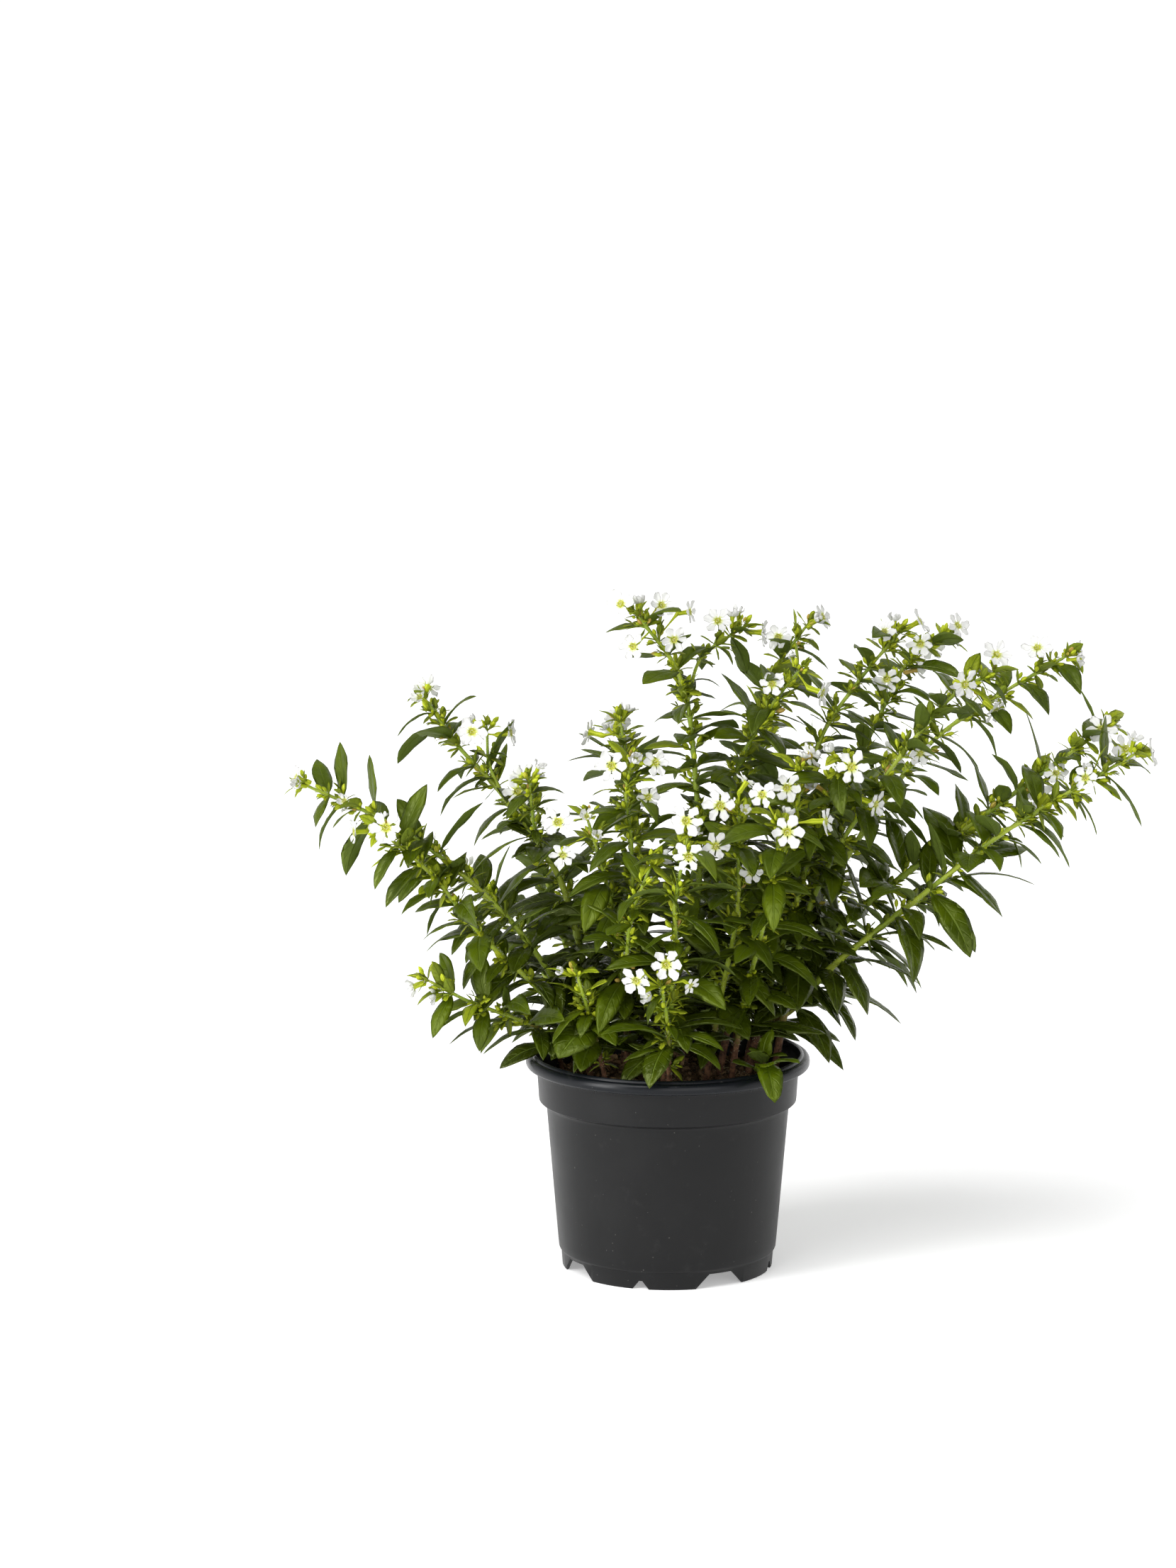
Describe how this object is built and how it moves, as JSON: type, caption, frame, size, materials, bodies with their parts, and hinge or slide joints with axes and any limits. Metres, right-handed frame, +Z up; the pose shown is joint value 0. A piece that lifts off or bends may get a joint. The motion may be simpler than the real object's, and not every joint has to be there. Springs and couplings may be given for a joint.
{
  "type": "potted false heather",
  "caption": "Bushy flowering perennial with arching leafy stems and white six-petalled blooms, in a tapered nursery pot of peat.",
  "frame": {"origin": "on the surface it stands on, below the middle of the whole plant's box", "axes": "+Z up, +X along the plant's widest spread, -Y towards the viewer"},
  "size_m": [0.3602, 0.1928, 0.2885],
  "materials": {
    "pot": "satin, moulded",
    "peat": "rough, fibrous",
    "leaf": "satin, waxy",
    "petal": "soft, matt"
  },
  "bodies": {
    "root": {"bloom_left_1_a": "petal", "bloom_left_1_b": "petal", "bloom_left_2_a": "petal", "bloom_left_3_a": "petal", "bloom_left_5_a": "petal", "bloom_mid_1_a": "petal", "bloom_mid_1_b": "petal", "bloom_mid_1_c": "petal", "bloom_mid_2_a": "petal", "bloom_mid_2_b": "petal", "bloom_mid_4_a": "petal", "bloom_mid_6_a": "petal", "bloom_mid_7_a": "petal", "bloom_front_1_a": "petal", "bloom_front_1_b": "petal", "bloom_front_3_a": "petal", "bloom_front_3_b": "petal", "bloom_front_4_a": "petal", "bloom_front_5_a": "petal", "bloom_front_5_b": "petal", "bloom_right_1_a": "petal", "bloom_right_1_b": "petal", "bloom_right_2_a": "petal", "bloom_right_3_a": "petal", "bloom_right_3_b": "petal", "bloom_right_4_a": "petal", "bloom_right_5_a": "petal", "bloom_right_6_a": "petal", "pot": "pot", "peat": "peat", "stem_left_1": "leaf", "stem_left_2": "leaf", "stem_left_3": "leaf", "stem_left_4": "leaf", "stem_left_5": "leaf", "stem_mid_1": "leaf", "stem_mid_2": "leaf", "stem_mid_3": "leaf", "stem_mid_4": "leaf", "stem_mid_5": "leaf", "stem_mid_6": "leaf", "stem_mid_7": "leaf", "stem_front_1": "leaf", "stem_front_2": "leaf", "stem_front_3": "leaf", "stem_front_4": "leaf", "stem_front_5": "leaf", "stem_front_6": "leaf", "stem_front_7": "leaf", "stem_right_1": "leaf", "stem_right_2": "leaf", "stem_right_3": "leaf", "stem_right_4": "leaf", "stem_right_5": "leaf", "stem_right_6": "leaf", "stem_back_1": "leaf", "stem_back_2": "leaf", "stem_back_3": "leaf", "stem_back_4": "leaf", "stem_back_5": "leaf"}
  },
  "joints": []
}
